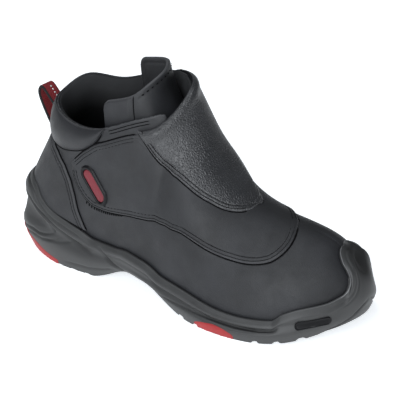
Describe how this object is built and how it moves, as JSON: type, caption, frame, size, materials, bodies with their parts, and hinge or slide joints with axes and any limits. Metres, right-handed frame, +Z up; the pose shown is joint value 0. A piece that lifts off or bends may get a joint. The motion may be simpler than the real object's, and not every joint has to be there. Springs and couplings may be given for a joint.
{
  "type": "welding boot",
  "caption": "Low slip-on welding boot for the right foot: lasted black leather upper with an instep flap over the tongue, padded heel cuff, pull loop and a lugged rubber sole with a toe bumper.",
  "frame": {"origin": "on the floor, under the middle of the bounding box", "axes": "+X from heel to toe, +Y towards the inner (medial) side, +Z up"},
  "size_m": [0.2972, 0.11, 0.1641],
  "materials": {
    "leather": "matt charcoal leather",
    "leather_grain": "pebbled charcoal leather with a slight sheen",
    "rubber": "moulded grey-black rubber",
    "rubber_red": "moulded red rubber",
    "webbing": "red webbing with black edges",
    "badge_red": "bare dull red moulding",
    "trim_black": "black moulding",
    "sock": "black textile"
  },
  "bodies": {
    "root": {"sole_unit": "rubber", "heel_insert": "rubber_red", "ball_insert": "rubber_red", "insole": "sock", "upper": "leather", "tongue": "leather", "saddle": "leather", "instep_flap": "leather_grain", "heel_counter": "leather", "collar_cuff": "leather", "pull_loop": "webbing", "badge": "badge_red", "badge_frame": "trim_black", "side_plate": "trim_black"}
  },
  "joints": []
}
